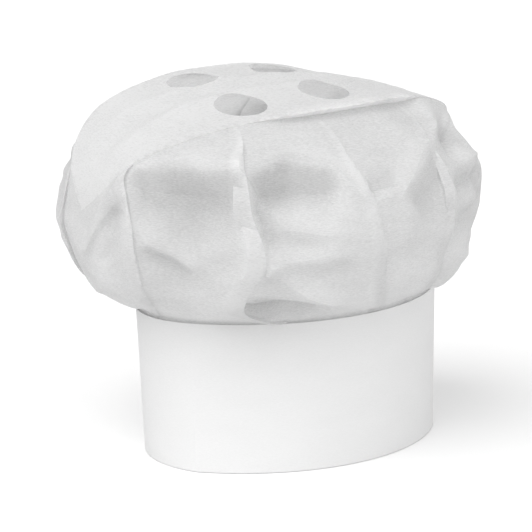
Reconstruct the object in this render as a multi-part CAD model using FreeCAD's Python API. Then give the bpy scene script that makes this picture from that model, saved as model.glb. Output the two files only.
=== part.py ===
import FreeCAD, Part
import math
import os

# Mushroom-style chef toque of thin nonwoven sheet, in millimetres.
# Origin: centre of the head opening on the plane of the band's lower rim.
# +Z is up, +X runs from side seam to side seam of the crown, +Y is the back.

V = FreeCAD.Vector

# ---- driving dimensions -------------------------------------------------

BAND_HEIGHT = 100.0          # rim to the band's top edge
PLY = 0.6                    # one ply of the band, or one closure strip
CAVITY = 2.2                 # space between the two plies of the band
BROAD_RADIUS = 130.0         # plan radius of the band's long front and back arcs
BROAD_OFFSET = 52.0          # distance of each broad arc's centre from the origin
CREASE_ANGLE = 50.3          # broad arc: middle to the flat-pack crease
TURN_ANGLE = 40.3            # broad arc: middle to where the short end arc starts
HALF_LENGTH = 107.0          # origin to the end of the band, lower rim
LEFT_FLARE = 7.0             # the left end leans out by this much at the top edge

SKIRT_HEIGHT = 16.0          # crown edge glued between the plies
CROWN_SHEET = 1.2            # crown sheet with its small gathers, as a plain shell
CROWN_SHIFT = -14.0          # the crown hangs over to the left of the band
CROWN_FOOT = 101.0           # height at which the crown leaves the band
GATHER_TOP = 107.0           # the pleats are pressed into the band up to here

# Crown sections above the band: height, half width, half depth, centre in X and Y.
CROWN_SECTIONS = [
    (103.5, 118.0, 98.0, -5.0, 0.0),
    (107.0, 125.0, 114.0, -10.0, 0.0),
    (114.0, 130.0, 121.0, CROWN_SHIFT, 0.0),
    (131.0, 137.0, 128.0, CROWN_SHIFT, 0.0),
    (158.0, 142.0, 132.0, CROWN_SHIFT, 0.0),
    (185.0, 139.0, 129.0, CROWN_SHIFT, 1.0),
    (203.0, 132.5, 118.0, CROWN_SHIFT, 3.0),
    (215.0, 124.0, 103.0, CROWN_SHIFT, 7.0),
    (226.0, 112.0, 83.0, CROWN_SHIFT, 14.0),
    (235.0, 95.0, 61.0, CROWN_SHIFT, 22.0),
    (242.0, 70.0, 38.0, CROWN_SHIFT, 29.0),
    (246.0, 36.0, 17.0, CROWN_SHIFT, 34.0),
]

GUSSET_HALF_LENGTH = 139.0   # eye-shaped top gusset, between the side seams
GUSSET_HALF_WIDTH = 52.0     # its middle to the front or back ridge fold
GUSSET_Y = 5.0               # its middle fold, and the plane of the side seams
VENT_RADIUS = 17.5
VENT_CENTRE = (-23.0, 7.0)   # middle of the four vents
VENT_X = 33.0                # vent centres either side of it
VENT_Y = 27.0

GLUE_LOW, GLUE_HIGH = 87.0, 95.0

# Back closure, as angles about the centre of the back arc; + is towards +X.
FLAP_ROOT, FLAP_TIP = 16.0, -14.5
FLAP_LOW, FLAP_HIGH = 1.4, 98.5
FLAP_GAP = 0.3               # between the flap's crease and the band
BAND_END = -16.5             # where the band's outer ply stops beside the flap
TAIL_START, TAIL_END = -29.0, 11.0
TAIL_LOW, TAIL_HIGH = 8.0, 78.0
CLEARANCE = 0.3              # radial play of the tail and its patch
PATCH = 0.5                  # hook or loop tape thickness
HOOK_START, HOOK_END = -12.5, 2.0
HOOK_LOW, HOOK_HIGH = 24.0, 62.0
LOOP_START, LOOP_END = -12.0, 9.0
LOOP_LOW, LOOP_HIGH = 20.0, 66.0

BACK_CENTRE = V(0, -BROAD_OFFSET, 0)
OUTER_FACE = BROAD_RADIUS
OUTER_PLY_IN = OUTER_FACE - PLY
INNER_PLY_OUT = OUTER_PLY_IN - CAVITY
INNER_PLY_IN = INNER_PLY_OUT - PLY
HINGE_POINT = BACK_CENTRE + V(
    OUTER_FACE * math.sin(math.radians(FLAP_ROOT)),
    OUTER_FACE * math.cos(math.radians(FLAP_ROOT)), 0)


# ---- the band's plan ----------------------------------------------------

def on_back_arc(degrees, inset, z):
    """Point on the back arc; degrees from the middle, + towards +X."""
    a = math.radians(degrees)
    r = BROAD_RADIUS - inset
    return V(r * math.sin(a), -BROAD_OFFSET + r * math.cos(a), z)


def on_front_arc(degrees, inset, z):
    """Point on the front arc: the back arc turned half round the origin."""
    p = on_back_arc(degrees, inset, z)
    return V(-p.x, -p.y, z)


def band_outline(z, inset):
    """Closed four-arc plan of the band at height z, inset from its outer face."""
    flare = LEFT_FLARE * z / BAND_HEIGHT
    lean = V(-flare, flare / 2, 0)
    crease_left = on_front_arc(CREASE_ANGLE, inset, z) + lean / 2
    front = on_front_arc(0, inset, z)
    turn_right = on_front_arc(-TURN_ANGLE, inset, z)
    end_right = V(HALF_LENGTH - inset, 0, z)
    crease_right = on_back_arc(CREASE_ANGLE, inset, z)
    back = on_back_arc(0, inset, z)
    turn_left = on_back_arc(-TURN_ANGLE, inset, z)
    end_left = V(-HALF_LENGTH + inset, 0, z) + lean
    arcs = [
        Part.Arc(crease_left, front, turn_right),
        Part.Arc(turn_right, end_right, crease_right),
        Part.Arc(crease_right, back, turn_left),
        Part.Arc(turn_left, end_left, crease_left),
    ]
    return Part.Wire([arc.toShape() for arc in arcs])


def band_block(z_low, z_high, inset):
    """Solid inside the band's plan between two heights."""
    wires = [band_outline(z_low, inset), band_outline(z_high, inset)]
    return Part.makeLoft(wires, True, True)


def band_ring(z_low, z_high, inset, thickness):
    """Thin wall that follows the band."""
    return band_block(z_low, z_high, inset).cut(band_block(z_low, z_high, inset + thickness))


def back_strip(start, end, z_low, z_high, r_in, r_out):
    """Curved strip on the back arc, between two angles, heights and radii."""
    def sector(radius):
        base = BACK_CENTRE + V(0, 0, z_low)
        body = Part.makeCylinder(radius, z_high - z_low, base, V(0, 0, 1), end - start)
        body.rotate(base, V(0, 0, 1), 90 - end)
        return body
    return sector(r_out).cut(sector(r_in))


# ---- the band -----------------------------------------------------------

def make_outer_band():
    """Outer ply, folded under at the rim, with the closure's gap at the back."""
    wall = band_ring(0, BAND_HEIGHT, 0, PLY)
    fold = band_ring(0, PLY, PLY, CAVITY)
    gap_start = BAND_END
    gap_end = FLAP_ROOT + math.degrees(FLAP_GAP / OUTER_FACE)
    gap = back_strip(gap_start, gap_end, PLY, BAND_HEIGHT + 1, OUTER_PLY_IN - 0.5, OUTER_FACE + 1)
    return wall.fuse(fold).cut(gap).removeSplitter()


def make_inner_band():
    return band_ring(0, BAND_HEIGHT, PLY + CAVITY, PLY)


# ---- the crown ----------------------------------------------------------

SKIRT_INSET = PLY + CAVITY - CROWN_SHEET      # the skirt lies on the inner ply


def crown_oval(z, half_x, half_y, centre_x, centre_y):
    """Ellipse split in four at the same corners as the band's plan."""
    corners = [math.radians(a) for a in (203.4, 322.0, 383.4, 502.0, 563.4)]
    centre = V(centre_x, centre_y, z)
    ellipse = Part.Ellipse(centre + V(half_x, 0, 0), centre + V(0, half_y, 0), centre)
    edges = []
    for start, end in zip(corners[:-1], corners[1:]):
        edges.append(Part.ArcOfEllipse(ellipse, start, end).toShape())
    return Part.Wire(edges)


def inward(sections, thickness):
    """The same sections moved inwards by the sheet's thickness, along its normal."""
    moved = []
    last = len(sections) - 1
    for i, (z, half_x, half_y, centre_x, centre_y) in enumerate(sections):
        low, high = sections[max(i - 1, 0)], sections[min(i + 1, last)]
        run, rise = high[1] - low[1], high[0] - low[0]
        length = math.hypot(run, rise)
        out, up = rise / length, -run / length
        step = thickness * out
        moved.append((z - thickness * up, half_x - step, half_y - step, centre_x, centre_y))
    return moved


def crown_block(inset, sections):
    """Solid under the crown's skin: the straight skirt and the billowing part."""
    skirt = band_block(BAND_HEIGHT - SKIRT_HEIGHT, CROWN_FOOT, inset)
    wires = [band_outline(CROWN_FOOT, inset)]
    wires += [crown_oval(*section) for section in sections]
    return skirt.fuse(Part.makeLoft(wires, True, True))


def make_crown_shell():
    outer = crown_block(SKIRT_INSET, CROWN_SECTIONS)
    inner = crown_block(SKIRT_INSET + CROWN_SHEET, inward(CROWN_SECTIONS, CROWN_SHEET))
    return outer.cut(inner)


def gusset_prism():
    """Eye-shaped upright prism whose sides are the two ridge folds."""
    low, high = 150.0, 260.0
    left = V(CROWN_SHIFT - GUSSET_HALF_LENGTH, GUSSET_Y, low)
    right = V(CROWN_SHIFT + GUSSET_HALF_LENGTH, GUSSET_Y, low)
    front = V(CROWN_SHIFT, GUSSET_Y - GUSSET_HALF_WIDTH, low)
    back = V(CROWN_SHIFT, GUSSET_Y + GUSSET_HALF_WIDTH, low)
    eye = Part.Wire([Part.Arc(left, front, right).toShape(), Part.Arc(right, back, left).toShape()])
    return Part.Face(eye).extrude(V(0, 0, high - low))


def vents():
    """Four punched vent holes, as cutters."""
    cutters = []
    for side in (-1, 1):
        for row in (-1, 1):
            foot = V(VENT_CENTRE[0] + side * VENT_X, VENT_CENTRE[1] + row * VENT_Y, 200.0)
            cutters.append(Part.makeCylinder(VENT_RADIUS, 80.0, foot))
    return cutters


def make_crown_panels():
    """The one folded crown sheet: gathered edge, panels, and the gusset's two halves."""
    shell = make_crown_shell()
    eye = gusset_prism()
    gusset = shell.common(eye)
    for cutter in vents():
        gusset = gusset.cut(cutter)
    reach = 400.0
    low_part = Part.makeBox(2 * reach, 2 * reach, GATHER_TOP, V(-reach, -reach, 0))
    front_half = Part.makeBox(2 * reach, reach, reach, V(-reach, GUSSET_Y - reach, 0))
    gathered_edge = shell.common(low_part)
    walls = shell.cut(low_part).cut(eye)
    return {
        "crown_gathered_edge": gathered_edge,
        "crown_front_panel": walls.common(front_half),
        "crown_gusset_front": gusset.common(front_half),
        "crown_gusset_back": gusset.cut(front_half),
        "crown_back_panel": walls.cut(front_half),
    }


def make_glue_line():
    """Hot-melt line between the crown's gathered edge and the outer ply."""
    ring = band_ring(GLUE_LOW, GLUE_HIGH, PLY, CAVITY - CROWN_SHEET)
    gap = back_strip(BAND_END - 1, FLAP_ROOT + 1, GLUE_LOW - 1, GLUE_HIGH + 1,
                     INNER_PLY_OUT - 1, OUTER_FACE)
    return ring.cut(gap)


# ---- the back closure ---------------------------------------------------

def make_closure_flap():
    """Free end of the outer ply; it peels open about the crease at its root."""
    return back_strip(FLAP_TIP, FLAP_ROOT, FLAP_LOW, FLAP_HIGH, OUTER_PLY_IN, OUTER_FACE)


def make_hook_patch():
    return back_strip(HOOK_START, HOOK_END, HOOK_LOW, HOOK_HIGH, OUTER_PLY_IN - PATCH, OUTER_PLY_IN)


TAIL_IN = INNER_PLY_OUT + CLEARANCE
TAIL_OUT = TAIL_IN + PLY


def make_closure_tail():
    """The band's other end; it slides between the plies to set the head size."""
    return back_strip(TAIL_START, TAIL_END, TAIL_LOW, TAIL_HIGH, TAIL_IN, TAIL_OUT)


def make_loop_patch():
    return back_strip(LOOP_START, LOOP_END, LOOP_LOW, LOOP_HIGH, TAIL_OUT, TAIL_OUT + PATCH)


# ---- output -------------------------------------------------------------

def main():
    os.makedirs("parts", exist_ok=True)
    nodes = {
        "outer_band": make_outer_band(),
        "inner_band": make_inner_band(),
        **make_crown_panels(),
        "crown_glue_line": make_glue_line(),
        "closure_flap": make_closure_flap(),
        "hook_patch": make_hook_patch(),
        "closure_tail": make_closure_tail(),
        "loop_patch": make_loop_patch(),
    }
    for name, shape in nodes.items():
        shape.exportStep("parts/" + name + ".step")
        box = shape.BoundBox
        print(name, "solids", len(shape.Solids), "valid", shape.isValid(),
              "cm3", round(shape.Volume / 1000, 2),
              "x", round(box.XMin, 1), round(box.XMax, 1),
              "y", round(box.YMin, 1), round(box.YMax, 1),
              "z", round(box.ZMin, 1), round(box.ZMax, 1))
    print("flap hinge at", [round(c, 3) for c in HINGE_POINT])


main()
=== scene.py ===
import bpy
import bmesh
import math
import random
import numpy as np
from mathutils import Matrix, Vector, geometry


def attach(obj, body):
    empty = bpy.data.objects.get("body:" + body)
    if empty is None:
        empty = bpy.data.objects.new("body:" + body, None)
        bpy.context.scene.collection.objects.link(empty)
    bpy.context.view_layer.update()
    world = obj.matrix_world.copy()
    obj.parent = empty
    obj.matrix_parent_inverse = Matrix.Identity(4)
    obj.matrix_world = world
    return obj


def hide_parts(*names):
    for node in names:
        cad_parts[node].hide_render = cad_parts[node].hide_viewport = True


# Looks of a mushroom-style chef toque of white nonwoven, around its CAD frame.
# Shapes are worked out in millimetres in the frame's axes; MM turns them into metres.

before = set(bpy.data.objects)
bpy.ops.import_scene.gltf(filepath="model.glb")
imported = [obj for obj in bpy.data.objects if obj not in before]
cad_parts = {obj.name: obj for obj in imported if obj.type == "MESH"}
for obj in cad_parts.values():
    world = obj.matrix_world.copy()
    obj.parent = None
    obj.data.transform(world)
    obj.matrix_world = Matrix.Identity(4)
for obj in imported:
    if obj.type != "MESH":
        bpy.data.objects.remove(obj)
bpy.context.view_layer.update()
MM = 0.001


# ---- small helpers ------------------------------------------------------

def smooth_curve(xs, ys, x):
    """Monotone cubic through (xs, ys), evaluated at x."""
    xs, ys, x = (np.asarray(k, float) for k in (xs, ys, x))
    steps = np.diff(xs)
    slopes = np.diff(ys) / steps
    tangents = np.zeros(len(xs))
    tangents[0], tangents[-1] = slopes[0], slopes[-1]
    same = slopes[:-1] * slopes[1:] > 0
    w1, w2 = 2 * steps[1:] + steps[:-1], steps[1:] + 2 * steps[:-1]
    with np.errstate(divide="ignore", invalid="ignore"):
        harmonic = (w1 + w2) / (w1 / slopes[:-1] + w2 / slopes[1:])
    tangents[1:-1] = np.where(same, harmonic, 0)
    i = np.clip(np.searchsorted(xs, x, side="right") - 1, 0, len(xs) - 2)
    h = steps[i]
    t = np.clip((x - xs[i]) / h, 0, 1)
    return (ys[i] * (1 + 2 * t) * (1 - t) ** 2 + h * tangents[i] * t * (1 - t) ** 2
            + ys[i + 1] * t * t * (3 - 2 * t) - h * tangents[i + 1] * t * t * (1 - t))


def ease(t):
    """Smooth step from 0 to 1."""
    t = np.clip(t, 0, 1)
    return t * t * (3 - 2 * t)


def mesh_object(name, points, faces, materials=()):
    """New object from points in millimetres."""
    mesh = bpy.data.meshes.new(name)
    mesh.from_pydata([tuple(p * MM) for p in np.asarray(points, float)], [], faces)
    mesh.validate()
    for material in materials:
        mesh.materials.append(material)
    obj = bpy.data.objects.new(name, mesh)
    bpy.context.scene.collection.objects.link(obj)
    return obj


def store(mesh, name, values):
    """Keep one number per point on the mesh, for the materials."""
    attribute = mesh.attributes.new(name, "FLOAT", "POINT")
    attribute.data.foreach_set("value", np.asarray(values, np.float32))


def apply_modifiers(obj):
    """Replace the object's mesh with its evaluated mesh."""
    depsgraph = bpy.context.evaluated_depsgraph_get()
    evaluated = obj.evaluated_get(depsgraph)
    mesh = bpy.data.meshes.new_from_object(evaluated, preserve_all_data_layers=True,
                                           depsgraph=depsgraph)
    old = obj.data
    obj.modifiers.clear()
    obj.data = mesh
    bpy.data.meshes.remove(old)


# ---- the band's plan, as in the CAD model -------------------------------

BAND_HEIGHT = 100.0
PLY = 0.6
CAVITY = 2.2
BROAD_RADIUS = 130.0
BROAD_OFFSET = 52.0
CREASE_ANGLE = 50.3
TURN_ANGLE = 40.3
HALF_LENGTH = 107.0
LEFT_FLARE = 7.0


def arc_through(start, middle, end, count):
    """Points on the circular arc through three plan points."""
    (ax, ay), (bx, by), (cx, cy) = start, middle, end
    d = 2 * (ax * (by - cy) + bx * (cy - ay) + cx * (ay - by))
    ux = ((ax * ax + ay * ay) * (by - cy) + (bx * bx + by * by) * (cy - ay)
          + (cx * cx + cy * cy) * (ay - by)) / d
    uy = ((ax * ax + ay * ay) * (cx - bx) + (bx * bx + by * by) * (ax - cx)
          + (cx * cx + cy * cy) * (bx - ax)) / d
    a0, a1, a2 = (math.atan2(y - uy, x - ux) for x, y in (start, middle, end))
    turn = 2 * math.pi
    sweep = (a2 - a0) % turn
    if (a1 - a0) % turn > sweep:
        sweep -= turn
    radius = math.hypot(ax - ux, ay - uy)
    angles = a0 + sweep * np.linspace(0, 1, count)
    return np.stack([ux + radius * np.cos(angles), uy + radius * np.sin(angles)], 1)


def back_arc(degrees, inset):
    """Plan point on the band's back arc; degrees from the middle, + towards +X."""
    a, r = math.radians(degrees), BROAD_RADIUS - inset
    return np.array([r * math.sin(a), -BROAD_OFFSET + r * math.cos(a)])


def band_plan(z, inset, per_arc=60):
    """Closed plan of the band at height z, from the left crease round by the front."""
    flare = LEFT_FLARE * z / BAND_HEIGHT
    lean = np.array([-flare, flare / 2])
    crease_left = -back_arc(CREASE_ANGLE, inset) + lean / 2
    turn_right = -back_arc(-TURN_ANGLE, inset)
    crease_right = back_arc(CREASE_ANGLE, inset)
    turn_left = back_arc(-TURN_ANGLE, inset)
    corners = [
        (crease_left, -back_arc(0, inset), turn_right),
        (turn_right, np.array([HALF_LENGTH - inset, 0]), crease_right),
        (crease_right, back_arc(0, inset), turn_left),
        (turn_left, np.array([inset - HALF_LENGTH, 0]) + lean, crease_left),
    ]
    return np.concatenate([arc_through(*three, per_arc + 1)[:-1] for three in corners])


# ---- materials ----------------------------------------------------------

# The crown's "body" attribute holds its doubled strips together with painted shade and painted
# light; each unit of it shifts the crown's tone by this much.
LAYERS_AND_PAINTED_SHADING_TONE = 0.22             # tone gained for each unit of the crown's "body"


def nonwoven(name, colour, fibre_scale, bump, shade, through=0.0):
    """White nonwoven sheet: pressed fibres and cloudy density; some lets light through."""
    material = bpy.data.materials.new(name)
    material.use_nodes = True
    nodes, links = material.node_tree.nodes, material.node_tree.links
    shader = nodes["Principled BSDF"]
    shader.inputs["Roughness"].default_value = 0.85
    shader.inputs["Specular IOR Level"].default_value = 0.25
    place = nodes.new("ShaderNodeTexCoord")

    def noise(scale, stretch, detail, turn=0.0):
        mapping = nodes.new("ShaderNodeMapping")
        mapping.inputs["Scale"].default_value = stretch
        mapping.inputs["Rotation"].default_value = (0, turn, turn)
        links.new(place.outputs["Object"], mapping.inputs["Vector"])
        texture = nodes.new("ShaderNodeTexNoise")
        texture.inputs["Scale"].default_value = scale
        texture.inputs["Detail"].default_value = detail
        links.new(mapping.outputs["Vector"], texture.inputs["Vector"])
        return texture.outputs["Fac"]

    def combine(a, b, how):
        node = nodes.new("ShaderNodeMath")
        node.operation = how
        links.new(a, node.inputs[0])
        if isinstance(b, float):
            node.inputs[1].default_value = b
        else:
            links.new(b, node.inputs[1])
        return node.outputs[0]

    fibres_a = noise(fibre_scale, (1, 1, 6.0), 3.0, 0.0)
    fibres_b = noise(fibre_scale * 1.6, (1, 1, 5.0), 3.0, 0.25)
    cloud = noise(25.0, (1, 1, 2.5), 2.0)
    fibres = combine(combine(fibres_a, fibres_b, "ADD"), 0.5, "MULTIPLY")
    tone = combine(combine(fibres, 0.8, "MULTIPLY"), combine(cloud, 0.2, "MULTIPLY"), "ADD")
    ramp = nodes.new("ShaderNodeValToRGB")
    ramp.color_ramp.elements[0].position = 0.05
    ramp.color_ramp.elements[0].color = (*(c * shade for c in colour), 1)
    ramp.color_ramp.elements[1].position = 0.65
    ramp.color_ramp.elements[1].color = (*colour, 1)
    # Crown only: the "body" attribute shifts the tone, higher on doubled strips, painted shade in
    # the hollows and under the small folds, painted light on the swells and the top gusset; the
    # ramp's dark end at 0.05 leaves room for the painted shade.
    if through:
        layers_and_painted_shading, shift = nodes.new("ShaderNodeAttribute"), nodes.new("ShaderNodeMath")
        layers_and_painted_shading.attribute_name = "body"
        shift.operation = "MULTIPLY_ADD"
        shift.inputs[1].default_value = LAYERS_AND_PAINTED_SHADING_TONE
        links.new(layers_and_painted_shading.outputs["Fac"], shift.inputs[0])
        links.new(tone, shift.inputs[2])
        tone = shift.outputs[0]
    links.new(tone, ramp.inputs["Fac"])
    links.new(ramp.outputs["Color"], shader.inputs["Base Color"])
    relief = nodes.new("ShaderNodeBump")
    relief.inputs["Strength"].default_value = bump
    relief.inputs["Distance"].default_value = 0.0006
    links.new(fibres, relief.inputs["Height"])
    links.new(relief.outputs["Normal"], shader.inputs["Normal"])
    if through:
        glow, mix = nodes.new("ShaderNodeBsdfTranslucent"), nodes.new("ShaderNodeMixShader")
        links.new(ramp.outputs["Color"], glow.inputs["Color"])
        links.new(relief.outputs["Normal"], glow.inputs["Normal"])
        mix.inputs["Fac"].default_value = through
        links.new(shader.outputs[0], mix.inputs[1])
        links.new(glow.outputs[0], mix.inputs[2])
        links.new(mix.outputs[0], nodes["Material Output"].inputs["Surface"])
    return material


def tape(name, colour, pattern, scale, height):
    """Hook or loop tape: a pattern of small plastic hooks, or a mat of loops."""
    material = bpy.data.materials.new(name)
    material.use_nodes = True
    nodes, links = material.node_tree.nodes, material.node_tree.links
    shader = nodes["Principled BSDF"]
    shader.inputs["Roughness"].default_value = 0.6
    place = nodes.new("ShaderNodeTexCoord")
    texture = nodes.new(pattern)
    texture.inputs["Scale"].default_value = scale
    links.new(place.outputs["Object"], texture.inputs["Vector"])
    ramp = nodes.new("ShaderNodeValToRGB")
    ramp.color_ramp.elements[0].color = (*(c * 0.75 for c in colour), 1)
    ramp.color_ramp.elements[1].color = (*colour, 1)
    links.new(texture.outputs[0], ramp.inputs["Fac"])
    links.new(ramp.outputs["Color"], shader.inputs["Base Color"])
    relief = nodes.new("ShaderNodeBump")
    relief.inputs["Strength"].default_value = 0.8
    relief.inputs["Distance"].default_value = height
    links.new(texture.outputs[0], relief.inputs["Height"])
    links.new(relief.outputs["Normal"], shader.inputs["Normal"])
    return material


CROWN_CLOTH = nonwoven("crown_nonwoven", (0.97, 0.97, 0.97), 380.0, 0.5, 0.58, 0.58)
BAND_CLOTH = nonwoven("band_nonwoven", (0.86, 0.86, 0.86), 480.0, 0.15, 0.88)
HOOK_TAPE = tape("hook_tape", (0.86, 0.86, 0.87), "ShaderNodeTexVoronoi", 900.0, 0.0006)
LOOP_TAPE = tape("loop_tape", (0.88, 0.88, 0.87), "ShaderNodeTexNoise", 1200.0, 0.0008)
HOT_MELT = tape("hot_melt_glue", (0.85, 0.82, 0.72), "ShaderNodeTexNoise", 250.0, 0.0004)


# ---- the crown ----------------------------------------------------------

# Wall sections without pleats: height, half width, half depth, centre in X.
WALL = np.array([
    (100.0, 105.0, 74.5, 0.0),
    (103.0, 109.5, 78.0, -3.0),
    (107.0, 113.0, 84.5, -5.5),
    (114.0, 118.5, 98.0, -9.0),
    (128.0, 130.0, 113.0, -15.5),
    (145.0, 134.0, 123.0, -18.5),
    (163.0, 139.0, 129.0, -17.5),
    (182.0, 139.0, 127.0, -15.5),
    (197.0, 132.0, 120.0, -16.0),
    (209.0, 124.0, 105.0, -15.0),
])
FOOT, ROLL, SHOULDER = 86.0, 107.0, 209.0
SEAM_DIP, SEAM_DIP_WIDTH = 60.0, 15.0    # the shoulder drops towards the side seams
LEAVES_BAND, OVAL_FROM = 99.0, 108.0    # from the band's plan to the crown's own oval
SKIRT_INSET = PLY + CAVITY / 2

# Front and back ridge folds of the top gusset, from the left seam to the right.
FRONT_RIDGE = np.array([
    (-153, 19, 172), (-151, -2, 188), (-139, -21, 208), (-112, -37, 221),
    (-80, -45, 228), (-45, -50, 231), (-10, -51, 232), (28, -48, 232),
    (66, -37, 230), (98, -31, 224), (117, -20, 211), (122, 4, 168)], float)
BACK_RIDGE = np.array([
    (-153, 19, 172), (-150, 34, 190), (-139, 47, 210), (-112, 57, 231),
    (-80, 59, 241), (-45, 59, 246.5), (-8, 58, 247), (28, 55, 243.5),
    (62, 49, 234), (92, 36, 225), (112, 21, 208), (122, 4, 168)], float)
SPANS = len(FRONT_RIDGE) - 1
LEFT_SEAM, RIGHT_SEAM = -188.0, -5.0

# Levels up the wall, as shares of its height, and their heights before the dip.
LEVELS = (0.0, 0.08, 0.17, 0.23, 0.32, 0.50, 0.68, 0.82, 1.0)
LEVEL_HEIGHTS = (FOOT, 100.0, ROLL, 114.0, 127.0, 155.0, 184.0, SHOULDER)
BILLOW = (0.0, 0.0, 0.3, 0.6, 1.0, 1.0, 0.8, 0.3, 0.0)
GAP = (0.5, 0.5, 0.9, 1.1, 1.4, 1.4, 1.4, 1.1, 0.7)     # between the layers of a pleat
FOOT_TUCK, FOOT_LIFT = (13, 13), (0.6, 0.8)        # where the pleats are pressed in the band

# Each knife pleat: place on the ridge loop (0 at the left seam, SPANS at the right one);
# azimuths of its visible fold at LEVELS; widths tucked under it and its lift, above the
# band only; and how far the panel on its left billows out.
PLEATS = [
    (2.0, (-176, -176, -170, -166, -161, -161, -163, -168, -169),
     (12, 11, 10, 8, 8, 8, 3), (2, 3.5, 5, 7, 8, 7, 2), 4.0),
    (4.1, (-118, -118, -120, -125, -131, -125.5, -129.5, -131, -127),
     (14, 13.5, 13, 12, 11, 8, 3), (5, 7.5, 10, 8, 6, 4, 2), 3.0),
    (5.9, (-82, -82, -82, -85, -88, -92, -96, -98, -92),
     (12, 11, 10, 9, 8, 6, 3), (1, 2, 3, 4, 4, 3, 2), 2.0),
    (8.0, (-62, -62, -62, -63, -64, -67, -67, -64, -50),
     (11, 10, 9, 8, 7, 6, 2), (1, 2, 3, 4, 4, 3, 2), 2.0),
    (9.6, (-31, -31, -31, -32, -33, -34, -34, -34, -32),
     (11, 10, 9, 7, 6, 4, 0), (1, 2, 3, 4, 4, 3, 1), 3.0),
    (11.8, (6, 6, 6, 6, 5, 4, 4, 5, 8),
     (11, 10, 9, 8, 6, 4, 0), (1, 2, 3, 4, 4, 3, 1), 4.0),
    (13.6, (38, 38, 38, 38, 37, 36, 36, 36, 36),
     (11, 10, 9, 8, 6, 4, 0), (1.5, 2.0, 3, 4, 4, 3, 1), 4.0),
    (15.2, (70, 70, 70, 70, 70, 69, 68, 68, 70),
     (12, 11, 10, 9, 7, 4, 0), (2, 3, 4, 5, 5, 3, 1), 3.0),
    (16.9, (101, 101, 101, 101, 101, 101, 101, 101, 100),
     (11, 10, 9, 8, 6, 4, 0), (2, 3, 4, 5, 4, 3, 1), 4.0),
    (18.6, (132, 132, 132, 132, 133, 134, 134, 134, 132),
     (12, 11, 10, 8, 6, 4, 0), (1.5, 3.0, 4, 5, 4, 3, 1), 3.0),
    (20.6, (160, 160, 160, 160, 160, 160, 160, 160, 158),
     (11, 10, 9, 8, 6, 4, 0), (1.5, 2.0, 3, 4, 4, 3, 1), 5.0),
]
MM_PER_DEGREE = 2.35
SWELL_REACH = 11.0           # how far each swell or hollow reaches
ROWS = 66                    # points up a panel's edges
TOP = 1.03                   # share of the height at the ridge fold, over its underside
PITCH = 3.3                  # spacing of the points inside a panel
CREASE_HEIGHT = 1.2         # scale of the crease heights below
PANEL_COLUMNS = 23           # points across a panel at its foot and ridge
TUCK_COLUMNS = 3             # points across the sheet tucked under a pleat
PANEL_WIDTH, PANEL_HEIGHT = 78.0, 237.0   # lay-out size of one panel, from foot to ridge

# Swells and hollows of the panels: place across, place up, height over the panel.
SWELLS = {
    0: [(0.3, 0.92, 1), (0.6, 0.88, -2), (0.9, 0.86, 3), (0.5, 0.78, 4), (0.75, 0.72, -4),
        (0.55, 0.62, 3), (0.85, 0.6, -3), (0.3, 0.6, -1), (0.3, 0.4, 3), (0.6, 0.4, 1),
        (0.85, 0.38, 1), (0.5, 0.25, 2)],
    1: [(0.2, 0.83, 3), (0.5, 0.85, 4), (0.9, 0.84, 3), (0.27, 0.68, -4), (0.5, 0.62, -8),
        (0.5, 0.70, -6), (0.75, 0.66, -4), (0.88, 0.60, 2), (0.32, 0.5, -6), (0.65, 0.45, -1),
        (0.9, 0.4, 3), (0.24, 0.34, -4), (0.28, 0.26, 1), (0.7, 0.28, 3), (0.5, 0.2, 1)],
    2: [(0.2, 0.82, 1), (0.42, 0.84, 5), (0.7, 0.85, 5), (0.9, 0.81, 2), (0.25, 0.77, -8),
        (0.48, 0.78, -7), (0.75, 0.78, -1), (0.24, 0.68, -5), (0.45, 0.66, 2), (0.68, 0.64, 4),
        (0.9, 0.6, 2), (0.26, 0.53, -4), (0.5, 0.46, 3), (0.85, 0.42, 2), (0.26, 0.38, -1),
        (0.45, 0.35, 5), (0.75, 0.3, 3), (0.24, 0.24, -14), (0.44, 0.22, -11),
        (0.66, 0.22, 1), (0.9, 0.2, 2)],
    3: [(0.25, 0.87, 2), (0.6, 0.87, 3), (0.9, 0.85, 1), (0.35, 0.79, 3), (0.7, 0.78, 4),
        (0.24, 0.73, -4), (0.36, 0.69, 3), (0.55, 0.70, -3), (0.85, 0.68, -3), (0.3, 0.55, 1),
        (0.6, 0.5, -3), (0.85, 0.5, -1), (0.3, 0.34, 3), (0.7, 0.32, 3), (0.5, 0.2, 0)],
    4: [(0.25, 0.86, 3), (0.6, 0.85, -4), (0.9, 0.86, 2), (0.32, 0.76, -7), (0.7, 0.75, 4),
        (0.22, 0.68, 3), (0.5, 0.67, 5), (0.85, 0.64, -3), (0.3, 0.56, -6), (0.7, 0.55, -5),
        (0.3, 0.44, 2), (0.6, 0.42, 4), (0.9, 0.4, 0), (0.3, 0.3, 4), (0.7, 0.26, 1)],
}

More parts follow.
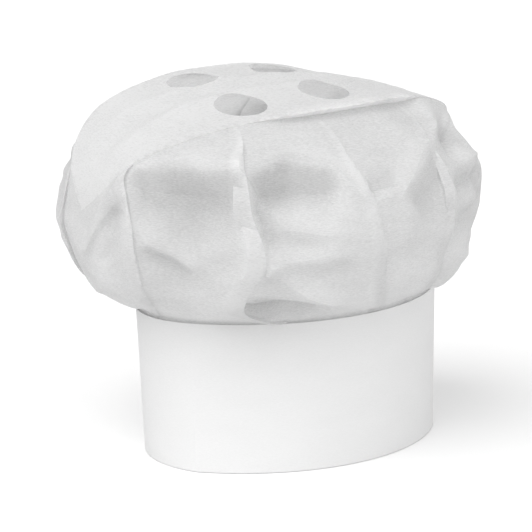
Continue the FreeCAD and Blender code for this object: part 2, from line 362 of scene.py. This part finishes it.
# Creases across panels: panel, from (across, up), to (across, up), height, half width.
CREASES = [
    (0, (0.60, 0.68), (0.62, 0.42), 2.0, 10), (0, (0.73, 0.55), (0.90, 0.82), -2.5, 12),
    (0, (0.35, 0.90), (0.60, 0.68), 2.0, 12), (0, (0.62, 0.42), (0.90, 0.26), 1.5, 12),
    (1, (0.97, 0.83), (0.91, 0.66), 2.0, 8), (1, (0.91, 0.66), (0.87, 0.45), 2.0, 8),
    (1, (0.14, 0.82), (0.55, 0.84), 2.0, 12), (1, (0.55, 0.84), (0.97, 0.82), 2.0, 12),
    (1, (0.14, 0.56), (0.50, 0.46), 2.6, 11), (1, (0.20, 0.34), (0.60, 0.42), -1.2, 12),
    (1, (0.45, 0.20), (0.90, 0.33), 1.5, 10), (1, (0.15, 0.84), (0.30, 0.70), 2.0, 8),
    (2, (0.13, 0.80), (0.42, 0.84), 3.0, 9), (2, (0.42, 0.84), (0.80, 0.80), 3.0, 9),
    (2, (0.80, 0.80), (0.97, 0.70), 2.0, 9), (2, (0.12, 0.475), (0.62, 0.53), 2.2, 12),
    (2, (0.12, 0.47), (0.68, 0.30), 3.5, 10), (2, (0.10, 0.345), (0.52, 0.25), 1.5, 8),
    (2, (0.52, 0.25), (0.54, 0.12), 2.0, 6),
    (2, (0.25, 0.88), (0.60, 0.95), -1.2, 10), (2, (0.30, 0.62), (0.90, 0.56), 1.2, 14),
    (3, (0.15, 0.755), (0.42, 0.75), -2.5, 7), (3, (0.15, 0.70), (0.42, 0.715), 3.0, 8),
    (3, (0.42, 0.715), (0.72, 0.79), 2.0, 10), (3, (0.72, 0.79), (0.98, 0.83), 2.0, 10),
    (3, (0.20, 0.47), (0.85, 0.40), 1.2, 14), (3, (0.60, 0.90), (0.80, 0.84), 1.5, 8),
    (4, (0.25, 0.90), (0.40, 0.78), 2.0, 8), (4, (0.15, 0.745), (0.90, 0.73), 3.0, 8),
    (4, (0.22, 0.69), (0.90, 0.70), -2.5, 7), (4, (0.20, 0.58), (0.90, 0.62), 2.0, 9),
    (4, (0.40, 0.78), (0.90, 0.86), -2.0, 9), (4, (0.20, 0.40), (0.90, 0.34), 1.5, 10),
]

# Small overhanging folds: panel, from (across, up), to (across, up), then the depth of
# the hollow below the line, how far down it turns in, and how far it takes to fade.
OVERHANGS = [
    (0, (0.45, 0.80), (0.95, 0.74), 4.0, 8, 20), (1, (0.14, 0.55), (0.52, 0.45), 3.5, 7, 14),
    (2, (0.14, 0.55), (0.12, 0.80), 4.5, 3, 8),
    (1, (0.09, 0.815), (1.00, 0.80), 7.0, 14, 34),
    (2, (0.12, 0.80), (0.42, 0.835), 9.0, 12, 20), (2, (0.42, 0.835), (0.82, 0.795), 7.0, 13, 18),
    (2, (0.10, 0.345), (0.52, 0.25), 13.0, 4, 24), (2, (0.12, 0.475), (0.70, 0.52), 3.5, 14, 20),
    (3, (0.13, 0.755), (0.42, 0.75), 4.0, 4, 6), (3, (0.42, 0.715), (0.98, 0.83), 4.5, 16, 26),
    (4, (0.20, 0.72), (0.92, 0.71), 6.0, 8, 14), (4, (0.30, 0.88), (0.92, 0.84), 4.0, 6, 12),
    (7, (0.15, 0.78), (0.80, 0.82), 6.0, 10, 20), (9, (0.20, 0.80), (0.95, 0.76), 6.0, 12, 22),
    (8, (0.12, 0.50), (0.60, 0.42), 4.0, 8, 14), (6, (0.12, 0.74), (0.70, 0.80), 5.0, 9, 18),
    (10, (0.15, 0.76), (0.85, 0.82), 5.0, 10, 20), (5, (0.15, 0.52), (0.70, 0.60), 4.0, 8, 14),
]


def to_seam(azimuth, seam):
    """Angle between an azimuth and a side seam, in degrees."""
    return np.abs((azimuth - seam + 180) % 360 - 180)


def band_point(angle, z):
    """Point of the crown's skirt between the band's plies, at a polar angle."""
    found = []
    for height in (0.0, BAND_HEIGHT):
        plan = band_plan(height, SKIRT_INSET)
        turn = np.unwrap(np.arctan2(plan[:, 1], plan[:, 0]))
        full = np.concatenate([turn - 2 * math.pi, turn, turn + 2 * math.pi])
        found.append(np.stack([np.interp(angle, full, np.tile(plan[:, k], 3))
                               for k in (0, 1)], -1))
    share = (z / BAND_HEIGHT)[..., None]
    return found[0] * (1 - share) + found[1] * share


def wall_points(azimuth, v):
    """Points of the unpleated wall; v is a share of the height, up to the shoulder's."""
    dip = sum(np.exp(-(to_seam(azimuth, seam) / SEAM_DIP_WIDTH) ** 2)
              for seam in (LEFT_SEAM, RIGHT_SEAM))
    z = smooth_curve(LEVELS[:-1], LEVEL_HEIGHTS, v) + 0 * azimuth
    squeeze = 1 - SEAM_DIP * dip / (SHOULDER - ROLL)
    z = np.where(z > ROLL, ROLL + (z - ROLL) * squeeze, z)
    half_x, half_y, centre = (
        smooth_curve(WALL[:, 0], WALL[:, k], np.maximum(z, WALL[0, 0])) for k in (1, 2, 3))
    a = np.radians(azimuth)
    oval = np.stack([centre + half_x * np.cos(a), half_y * np.sin(a)], -1)
    polar = np.arctan2(WALL[0, 2] * np.sin(a), WALL[0, 1] * np.cos(a))
    free = ease((z - LEAVES_BAND) / (OVAL_FROM - LEAVES_BAND))[..., None]
    plan = band_point(polar, z) * (1 - free) + oval * free
    return np.concatenate([plan, z[..., None]], -1)


def ridge_points(s, side=None):
    """Points on the loop of ridge folds; or midway between the two folds."""
    s = np.asarray(s, float) % (2 * SPANS)
    p = np.where(s <= SPANS, s, 2 * SPANS - s)
    front, back = (
        np.stack([smooth_curve(range(SPANS + 1), line[:, k], p) for k in range(3)], -1)
        for line in (FRONT_RIDGE, BACK_RIDGE))
    if side == "middle":
        return (front + back) / 2
    return np.where((s <= SPANS)[..., None], front, back)


def lip_depth(s):
    """How far the ridge fold stands out over the wall below it."""
    s = s % (2 * SPANS)
    front_lip = 8.5 * ease((s - 4.2) / 1.6) * ease((8.5 - s) / 0.5)
    back_lip = 4.0 * ease((s - 13.5) / 1.5) * ease((17.5 - s) / 1.0)
    return 0.3 + front_lip + back_lip


def swell_heights(points, across, v, reach):
    """Smooth heights between points of a panel."""
    total, weights = 0.0, 1e-4
    for t, u, height in points:
        away = ((across - t) * PANEL_WIDTH) ** 2 + ((v - u) * PANEL_HEIGHT) ** 2
        weight = np.exp(-away / (2 * reach ** 2))
        total, weights = total + weight * height, weights + weight
    return total / weights


def crease_heights(lines, across, v):
    """Tent-shaped heights along straight creases, fading towards their ends."""
    size = np.array([PANEL_WIDTH, PANEL_HEIGHT])
    at, total = np.stack([across, v], -1) * size, 0.0
    for start, end, height, half_width in lines:
        first, span = np.array(start) * size, (np.array(end) - start) * size
        length = math.hypot(*span)
        share = ((at - first) @ span) / length ** 2
        beside = np.linalg.norm(at - first - np.clip(share, 0, 1)[:, None] * span, axis=1)
        tent = np.clip(1 - beside / half_width, 0, 1)
        total = total + height * tent * ease(share * 3 + 0.6) * ease((1 - share) * 3 + 0.6)
    return total


def overhang_depths(panel, across, v, sharper=1.0):
    """Hollows below the small overhanging folds of a panel; sharper turns them in sooner."""
    size = np.array([PANEL_WIDTH, PANEL_HEIGHT])
    at, total = np.stack([across, v], -1) * size, 0.0
    for where, start, end, depth, turn, reach in OVERHANGS:
        if where == panel:
            first, span = np.array(start) * size, (np.array(end) - start) * size
            length = math.hypot(*span)
            share = ((at - first) @ span) / length ** 2
            below = ((at - first) @ np.array([span[1], -span[0]])) / length
            turn = turn / sharper
            hollow = np.clip(below / turn, 0, 1) ** 1.3
            hollow = hollow * np.exp(-(np.maximum(below - turn, 0) / reach) ** 2)
            hollow = hollow * ease(share * 4 + 0.5) * ease((1 - share) * 4 + 0.5)
            total = np.maximum(total, depth * hollow)
    return total


def scattered(dice, wide, high, height):
    """Facet points on a shaken grid."""
    return [((i + dice.uniform(0.15, 0.85)) / wide, (k + dice.uniform(0.15, 0.85)) / high,
             dice.uniform(-height, height)) for i in range(wide) for k in range(high)]


def panel_swells(panel):
    """The swells set for a panel, or scattered ones, between still edges."""
    dice = random.Random(100 + panel)
    edge = [(t, k / 13, 0) for t in (0, 1) for k in range(14)]
    edge += [(t, u, 0) for t in (0.3, 0.7) for u in (0, 0.1, 1)]
    return edge + (SWELLS.get(panel) or scattered(dice, 3, 7, 4.5))


def panel_creases(panel):
    """The creases set for a panel, and a few scattered ones."""
    dice = random.Random(300 + panel)
    lines = [tuple(line) for where, *line in CREASES if where == panel]
    for _ in range(4 if lines else 13):
        t, v, angle = dice.uniform(0.1, 0.9), dice.uniform(0.2, 0.9), dice.uniform(-1.5, 1.5)
        length = dice.uniform(20, 50)
        end = (min(max(t + length * math.sin(angle) / PANEL_WIDTH, 0.04), 0.96),
               min(v + length * math.cos(angle) / PANEL_HEIGHT, 0.96))
        height = dice.choice((-1, 1)) * dice.uniform(0.8, 2.0) * (0.6 if lines else 1)
        lines.append(((t, v), end, height, dice.uniform(7, 13)))
    return lines


def pleat_curves(i, v):
    """A pleat's place, and its azimuth, tuck, lift and billow at heights v."""
    place, azimuths, tucks, lifts, billow = PLEATS[i % len(PLEATS)]
    turns = i // len(PLEATS)
    return (place + turns * 2 * SPANS, smooth_curve(LEVELS, azimuths, v) + turns * 360,
            smooth_curve(LEVELS, FOOT_TUCK + tucks, v) / MM_PER_DEGREE,
            smooth_curve(LEVELS, FOOT_LIFT + lifts, v), billow)


def panel_relief(i, t, v):
    """Swells, creases and hollows of the panel that ends in pleat i."""
    low_v = np.minimum(v, 1)
    relief = swell_heights(panel_swells(i), t, low_v, SWELL_REACH)
    relief = relief + CREASE_HEIGHT * crease_heights(panel_creases(i), t, low_v)
    relief = relief - overhang_depths(i, t, low_v)
    return relief * ease((t - 0.08) * 12) * ease((1 - t) * 25) * ease((low_v - 0.08) * 8)


def panel_points(i, t, v):
    """Points of the panel that ends in pleat i; t is the share across it."""
    low_v = np.minimum(v, 1)
    gap, swell = smooth_curve(LEVELS, GAP, low_v), smooth_curve(LEVELS, BILLOW, low_v)
    place, az, _, lift, billow = pleat_curves(i, low_v)
    place_before, az_before, tuck_before, lift_before, _ = pleat_curves(i - 1, low_v)
    start = az_before - tuck_before
    azimuth = start + t * (az - start)
    offset = ((lift_before - 2 * gap) * (1 - ease(t * 3)) + lift * ease(t * 3 - 2)
              + billow * np.sin(math.pi * t) * swell)
    near_seam = np.minimum(to_seam(azimuth, LEFT_SEAM), to_seam(azimuth, RIGHT_SEAM))
    calm = 1 - 0.75 * ease(1.3 - near_seam / 22) * ease((low_v - 0.5) * 5)
    offset = offset + panel_relief(i, t, v) * calm
    return sheet_points(azimuth, offset, place_before + t * (place - place_before), v)


def tuck_points(i, q, v):
    """Points of the sheet folded under pleat i; q is the share of the way in."""
    low_v = np.minimum(v, 1)
    place, az, tuck, lift, _ = pleat_curves(i, low_v)
    gap = smooth_curve(LEVELS, GAP, low_v)
    return sheet_points(az - q * tuck, lift - 2 * gap * q, place + 0 * q, v)


def sheet_points(azimuth, offset, places, v):
    """Points of the crown from azimuth, offset along the normal, ridge place and height."""
    low = np.minimum(v, LEVELS[-2])
    p = wall_points(azimuth, low)
    sideways = wall_points(azimuth + 1, low) - wall_points(azimuth - 1, low)
    upwards = (wall_points(azimuth, np.minimum(low + 0.01, LEVELS[-2]))
               - wall_points(azimuth, np.maximum(low - 0.01, 0)))
    normal = np.cross(sideways, upwards)
    normal /= np.linalg.norm(normal, axis=-1, keepdims=True)
    ridge = ridge_points(places)
    inward = ridge_points(places, "middle") - ridge
    inward /= np.linalg.norm(inward, axis=-1, keepdims=True) + 1e-6
    depth = lip_depth(places)[:, None]
    under = ridge + inward * depth - (0.2 + 0.6 * depth) * np.array([0, 0, 1])
    t = np.clip((v - LEVELS[-2]) / (1 - LEVELS[-2]), 0, 1)[:, None]
    p = p + (under - p) * t
    normal = normal * (1 - t) + np.array([0, 0, 1]) * t
    p = p + normal * (offset * ease((1 - v) * 12))[:, None]
    return p + (ridge - under) * np.clip((v - 1) / (TOP - 1), 0, 1)[:, None]


def panel_layout(panel):
    """Flat layout of a panel: points (across, up) and triangles that follow its creases."""
    size = np.array([PANEL_WIDTH, PANEL_HEIGHT])
    across, up = np.linspace(0, 1, PANEL_COLUMNS), np.append(np.linspace(0, 1, ROWS), TOP)
    loop = [(t, 0) for t in across[:-1]] + [(1, u) for u in up[:-1]]
    loop += [(t, TOP) for t in across[:0:-1]] + [(0, u) for u in up[:0:-1]]
    edges = [(k, (k + 1) % len(loop)) for k in range(len(loop))]
    spots = [Vector(np.array(at) * size) for at in loop]
    lines = [(np.array(start) * size, np.array(end) * size) for start, end, *_ in
             panel_creases(panel) + [tuple(line) for where, *line in OVERHANGS if where == panel]]
    under_lip = (np.array([PITCH, PANEL_HEIGHT]), np.array([PANEL_WIDTH - PITCH, PANEL_HEIGHT]))
    for start, end in lines + [under_lip]:
        steps = max(2, round(math.hypot(*(end - start)) / (0.8 * PITCH)))
        first = len(spots)
        spots += [Vector(start + (end - start) * k / steps) for k in range(steps + 1)]
        edges += [(first + k, first + k + 1) for k in range(steps)]
    starts = np.array([line[0] for line in lines])
    spans = np.array([line[1] for line in lines]) - starts
    dice = random.Random(500 + panel)
    for x in np.arange(PITCH, PANEL_WIDTH - PITCH / 2, PITCH):
        for y in np.arange(PITCH, PANEL_HEIGHT - PITCH / 2, PITCH):
            at = np.array([x, y]) + [dice.uniform(-0.7, 0.7), dice.uniform(-0.7, 0.7)]
            share = ((at - starts) * spans).sum(1) / (spans ** 2).sum(1)
            nearest = starts + spans * np.clip(share, 0, 1)[:, None]
            if np.linalg.norm(at - nearest, axis=1).min() > 0.4 * PITCH:
                spots.append(Vector(at))
    spots, _, triangles, *_ = geometry.delaunay_2d_cdt(spots, edges, [], 0, 1e-4)
    return np.array(spots) / size, [tuple(three) for three in triangles]


VENT_RADIUS = 17.0
VENTS = [(-58, -23), (-56, 33), (11, -21), (10, 33)]
GRID = 4.2


def gusset_mesh(places, edge_points):
    """Top sheet between the ridge folds, laid out flat, with its vent holes left open."""
    knots = np.linspace(0, SPANS, 20 * SPANS + 1)
    middle = ridge_points(knots, "middle")
    half = np.linalg.norm(ridge_points(knots) - middle, axis=1)
    run = np.concatenate([[0], np.cumsum(np.linalg.norm(np.diff(middle, axis=0), axis=1))])
    places = places % (2 * SPANS)
    p = np.where(places <= SPANS, places, 2 * SPANS - places)
    side = np.where(places <= SPANS, -1, 1)
    flat = [Vector((np.interp(k, knots, run), sign * max(np.interp(k, knots, half), 0.01)))
            for k, sign in zip(p, side)]
    rim = len(flat)
    edges = [(k, (k + 1) % rim) for k in range(rim)]
    centres = []
    for x, y in VENTS:
        at = np.argmin(np.abs(middle[:, 0] - x))
        centres.append(np.array([run[at], y - middle[at, 1]]))
        first, corners = len(flat), 44
        for a in 2 * math.pi * np.arange(corners) / corners:
            flat.append(Vector(centres[-1] + VENT_RADIUS * np.array([math.cos(a), math.sin(a)])))
        edges += [(first + k, first + (k + 1) % corners) for k in range(corners)]
    dice = random.Random(7)
    for x in np.arange(GRID, run[-1], GRID):
        wide = np.interp(x, run, half) - 0.6 * GRID
        for y in np.arange(-80, 80, GRID):
            spot = np.array([x + dice.uniform(-1, 1), y + dice.uniform(-1, 1)])
            clear = all(np.linalg.norm(spot - c) > VENT_RADIUS + 0.6 * GRID for c in centres)
            if abs(y) < wide and clear:
                flat.append(Vector(spot))
    spots, _, triangles, *_ = geometry.delaunay_2d_cdt(flat, edges, [], 1, 1e-5)
    spots = np.array([tuple(q) for q in spots])
    middles = spots[np.array(triangles)].mean(1)
    kept = [tuple(three) for three, at in zip(triangles, middles)
            if all(np.linalg.norm(at - c) > VENT_RADIUS * 0.99 for c in centres)]
    place = np.interp(spots[:, 0], run, knots)
    front, back = ridge_points(place), ridge_points(2 * SPANS - place)
    width = 2 * np.interp(spots[:, 0], run, half) + 1e-6
    q = np.clip(0.5 + spots[:, 1] / width, 0, 1)[:, None]
    points = front * (1 - q) + back * q
    rise = 3.0 * np.sin(math.pi * place / SPANS)[:, None] * 4 * q * (1 - q)
    fold = 1.5 * np.clip(1 - np.abs(spots[:, 1:2]) / 8.0, 0, 1)
    ripple = sum(h * np.clip(1 - np.abs(spots[:, 1:2] - y0 - k * spots[:, 0:1]) / w, 0, 1)
                 for h, y0, k, w in ((2.2, -16, 0.05, 8), (2.0, 22, -0.04, 9), (2.0, -62, 0.55, 8)))
    points[:, 2:3] += rise - fold + ripple * 4 * q * (1 - q)
    points[:rim] = edge_points
    return points, kept


# Tone of the cloth, kept in its "body" attribute: higher where the sheet is doubled; painted
# light on the top gusset and the swells, painted shade over the hollows and under small folds.
DOUBLED_BODY, TOP_PAINTED_LIGHT = 0.4, 0.5
FULL_PAINTED_SHADE_DEPTH = 11.0           # depth of a hollow that lowers it by one


def crown_mesh():
    """The whole crown sheet in one piece: panels, tucks, lip and top gusset."""
    points, faces, body, count = [], [], [], 0
    up = np.append(np.linspace(0, 1, ROWS), TOP)
    across = np.linspace(0, 1, PANEL_COLUMNS)
    ins = np.linspace(0, 1, TUCK_COLUMNS + 2)
    places, rim = [], []
    for i in range(len(PLEATS)):
        flat, triangles = panel_layout(i)
        points.append(panel_points(i, flat[:, 0], flat[:, 1]))
        tuck = pleat_curves(i, np.minimum(flat[:, 1], 1))[2] * MM_PER_DEGREE / PANEL_WIDTH
        # Painted shade and light: darker below the small overhanging folds and over the hollows,
        # lighter on the swells; each point takes the relief from a little below it, so slopes
        # facing down come out darker.
        hollow = (overhang_depths(i, flat[:, 0], flat[:, 1], 6.0)
                  - 0.8 * panel_relief(i, flat[:, 0], flat[:, 1] - 0.03))
        hollow = np.clip(hollow / FULL_PAINTED_SHADE_DEPTH, -0.4, 1.8)
        strip = ease((flat[:, 0] - 1 + tuck) * 25 + 0.5) * (tuck > 0.02)
        body.append(DOUBLED_BODY * strip - hollow)
        faces += [tuple(count + k for k in three) for three in triangles]
        count += len(flat)
        q, v = (k.ravel() for k in np.meshgrid(ins, up, indexing="ij"))
        points.append(tuck_points(i, q, v))
        body.append(np.zeros(len(q)))
        rows = len(up)
        faces += [(count + c * rows + r, count + (c + 1) * rows + r,
                   count + (c + 1) * rows + r + 1, count + c * rows + r + 1)
                  for c in range(len(ins) - 1) for r in range(rows - 1)]
        count += len(q)
        rim.append(panel_points(i, across[:-1], np.full(len(across) - 1, TOP)))
        place_before, place = pleat_curves(i - 1, 1.0)[0], pleat_curves(i, 1.0)[0]
        places.append(place_before + across[:-1] * (place - place_before))
    top_points, top_faces = gusset_mesh(np.concatenate(places), np.concatenate(rim))
    faces += [tuple(count + k for k in face) for face in top_faces]
    points = np.concatenate(points + [top_points])
    crown = mesh_object("crown", points, faces, [CROWN_CLOTH])
    # The top gusset gets painted light: a higher tone than the panels.
    store(crown.data, "body", np.concatenate(body + [np.full(len(top_points), TOP_PAINTED_LIGHT)]))
    shape = bmesh.new()
    shape.from_mesh(crown.data)
    bmesh.ops.remove_doubles(shape, verts=shape.verts, dist=0.03 * MM)
    bmesh.ops.recalc_face_normals(shape, faces=shape.faces)
    shape.to_mesh(crown.data)
    shape.free()
    return crown


def make_crown():
    crown = crown_mesh()
    crown.data.shade_smooth()
    crown.data.set_sharp_from_angle(angle=math.radians(20))
    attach(crown, "hat")
    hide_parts("crown_gathered_edge", "crown_front_panel", "crown_gusset_front",
                "crown_gusset_back", "crown_back_panel")


make_crown()

# ---- the band and its closure -------------------------------------------

FLAP_ROOT, FLAP_TIP, BAND_END = 16.0, -14.5, -16.5     # degrees on the back arc
FOLD_GAP = 0.14
RIM = [(2.7, 0.3), (1.0, 0.3), (0.5, 0.45), (0.32, 0.8)]     # inset, height of the fold


def open_band_plan(z, inset):
    """Plan of the outer ply, from one side of the closure round to the other."""
    plan = band_plan(z, inset)
    quarter = len(plan) // 4
    front, right, left = plan[:quarter], plan[quarter:2 * quarter], plan[3 * quarter:]
    near = [back_arc(a, inset) for a in np.linspace(BAND_END, -TURN_ANGLE, 18)[:-1]]
    far = [back_arc(a, inset) for a in np.linspace(CREASE_ANGLE, FLAP_ROOT + FOLD_GAP, 26)]
    return np.concatenate([near, left, front, right, far])


def flap_plan(z, inset):
    return np.array([back_arc(a, inset) for a in np.linspace(FLAP_ROOT, FLAP_TIP, 36)])


def tail_plan(z, inset):
    return np.array([back_arc(a, inset) for a in np.linspace(-29.0, 11.0, 40)])


def wavy(plan, z, size):
    """Small waves that a thin ply keeps after it is creased and rolled."""
    x, y = plan[:, 0], plan[:, 1]
    wave = (np.sin(x / 23 + z / 31) + np.sin(y / 17 - z / 47 + 1.3)
            + 0.6 * np.sin((x - y) / 11 + z / 19)) * size / 2.6
    away = plan / np.linalg.norm(plan, axis=1, keepdims=True)
    return plan + away * wave[:, None]


def ply(name, plan_at, rows, closed, thickness, waves=0.0):
    """Thin sheet through plans at (inset, height) rows, thickened to the ply."""
    levels = [wavy(plan_at(z, inset), z, waves * min(1, z / 10)) for inset, z in rows]
    count = len(levels[0])
    points = [(*xy, z) for level, (_, z) in zip(levels, rows) for xy in level]
    faces = [(r * count + c, r * count + (c + 1) % count,
              (r + 1) * count + (c + 1) % count, (r + 1) * count + c)
             for r in range(len(rows) - 1) for c in range(count if closed else count - 1)]
    obj = mesh_object(name, points, faces, [BAND_CLOTH])
    thicken(obj, thickness)
    return obj


def thicken(obj, thickness):
    shell = obj.modifiers.new("shell", "SOLIDIFY")
    shell.thickness = thickness * MM
    shell.offset = 0
    apply_modifiers(obj)
    obj.data.shade_smooth()
    obj.data.set_sharp_from_angle(angle=math.radians(9))


def round_corners(obj, edge_angle, low, high, radius):
    """Pull the two corners at a strip's free end in to a radius."""
    for vertex in obj.data.vertices:
        x, y, z = vertex.co / MM
        angle = math.degrees(math.atan2(x, y + BROAD_OFFSET))
        from_edge = abs(angle - edge_angle) * math.radians(1) * BROAD_RADIUS
        from_side = min(z - low, high - z)
        if from_edge < radius and from_side < radius:
            dx, dz = radius - from_edge, radius - from_side
            reach = math.hypot(dx, dz)
            if reach > 1e-6:
                share = max(dx, dz) / reach
                middle = low + radius if z < (low + high) / 2 else high - radius
                new_z = middle + (z - middle) * share
                turn = math.radians(edge_angle + (angle - edge_angle)
                                    + math.degrees(dx * (1 - share) / BROAD_RADIUS))
                r = math.hypot(x, y + BROAD_OFFSET)
                new_y = r * math.cos(turn) - BROAD_OFFSET
                vertex.co = Vector((r * math.sin(turn), new_y, new_z)) * MM


def lift_edge(obj, from_angle, to_angle, height):
    """Let a strip's free end stand off by a little."""
    for vertex in obj.data.vertices:
        x, y, z = vertex.co / MM
        angle = math.degrees(math.atan2(x, y + BROAD_OFFSET))
        share = float(ease((angle - from_angle) / (to_angle - from_angle)))
        out = height * share * (0.6 + 0.4 * math.sin(z / 21 + 1))
        r = math.hypot(x, y + BROAD_OFFSET)
        vertex.co = Vector((x + x / r * out, y + (y + BROAD_OFFSET) / r * out, z)) * MM


def band_rows(inset, low, high, count):
    return [(inset, z) for z in np.linspace(low, high, count)]


def make_band():
    outer = ply("band_outer_ply", open_band_plan, RIM + band_rows(PLY / 2, 1.5, BAND_HEIGHT, 26),
                False, PLY * 0.9, 0.35)
    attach(outer, "hat")
    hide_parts("outer_band")
    inset = 1.5 * PLY + CAVITY
    inner = ply("band_inner_ply", band_plan, band_rows(inset, 0.3, BAND_HEIGHT, 24),
                True, PLY * 0.9, 0.3)
    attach(inner, "hat")
    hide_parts("inner_band")
    flap = ply("closure_flap_sheet", flap_plan, band_rows(PLY / 2, 1.4, 98.5, 30), False, PLY * 0.9)
    round_corners(flap, FLAP_TIP, 1.4, 98.5, 9.0)
    lift_edge(flap, 0.0, FLAP_TIP, 1.2)
    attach(flap, "closure_flap")
    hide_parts("closure_flap")
    tail = ply("closure_tail_sheet", tail_plan, band_rows(PLY + CAVITY - 0.6, 8.0, 78.0, 22),
               False, PLY * 0.8)
    round_corners(tail, 11.0, 8.0, 78.0, 8.0)
    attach(tail, "closure_tail")
    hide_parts("closure_tail")


make_band()
for node, material in (("hook_patch", HOOK_TAPE), ("loop_patch", LOOP_TAPE),
                       ("crown_glue_line", HOT_MELT)):
    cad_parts[node].data.materials.clear()
    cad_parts[node].data.materials.append(material)


# ---- floor, light, camera ----------------------------------------------

def make_stage():
    """White floor, which throws back less light on to the hat than it shows."""
    reach = 3000
    floor = mesh_object("floor", [(-reach, -reach, 0), (reach, -reach, 0), (reach, reach, 0),
                                  (-reach, reach, 0)], [(0, 1, 2, 3)])
    material = bpy.data.materials.new("floor")
    material.use_nodes = True
    nodes, links = material.node_tree.nodes, material.node_tree.links
    shader = nodes["Principled BSDF"]
    shader.inputs["Roughness"].default_value = 0.9
    shader.inputs["Specular IOR Level"].default_value = 0.0
    seen, tone = nodes.new("ShaderNodeLightPath"), nodes.new("ShaderNodeMapRange")
    tone.inputs["To Min"].default_value = 0.68
    tone.inputs["To Max"].default_value = 1.0
    links.new(seen.outputs["Is Camera Ray"], tone.inputs["Value"])
    links.new(tone.outputs["Result"], shader.inputs["Base Color"])
    floor.data.materials.append(material)


def soft_sun(name, towards, energy, spread):
    lamp = bpy.data.lights.new(name, "SUN")
    lamp.energy = energy
    lamp.angle = math.radians(spread)
    obj = bpy.data.objects.new(name, lamp)
    obj.rotation_euler = Vector(towards).to_track_quat("Z", "Y").to_euler()
    bpy.context.scene.collection.objects.link(obj)


def make_lights():
    """A plain white surround, a wide key from the upper left and a low front fill."""
    soft_sun("key", (-0.80, -0.15, 0.92), 1.75, 60)
    soft_sun("fill", (0.15, -1.00, 0.38), 1.05, 90)
    world = bpy.data.worlds.new("studio")
    world.use_nodes = True
    nodes, links = world.node_tree.nodes, world.node_tree.links
    nodes["Background"].inputs["Color"].default_value = (1, 1, 1, 1)
    seen, strength = nodes.new("ShaderNodeLightPath"), nodes.new("ShaderNodeMapRange")
    strength.inputs["To Min"].default_value = 0.59
    strength.inputs["To Max"].default_value = 1.0
    links.new(seen.outputs["Is Camera Ray"], strength.inputs["Value"])
    links.new(strength.outputs["Result"], nodes["Background"].inputs["Strength"])
    bpy.context.scene.world = world


def make_camera():
    azimuth, elevation = math.radians(-37), math.radians(13.5)
    back = Vector((math.sin(azimuth) * math.cos(elevation),
                   -math.cos(azimuth) * math.cos(elevation), math.sin(elevation)))
    data = bpy.data.cameras.new("camera")
    data.sensor_width = 36
    data.lens = 203
    data.shift_x, data.shift_y = -0.047, -0.0075
    camera = bpy.data.objects.new("camera", data)
    camera.location = Vector((0, 0, 0.12)) + back * 2.0
    camera.rotation_euler = back.to_track_quat("Z", "Y").to_euler()
    bpy.context.scene.collection.objects.link(camera)
    bpy.context.scene.camera = camera


make_stage()
make_lights()
make_camera()
bpy.context.scene.view_settings.view_transform = "Standard"
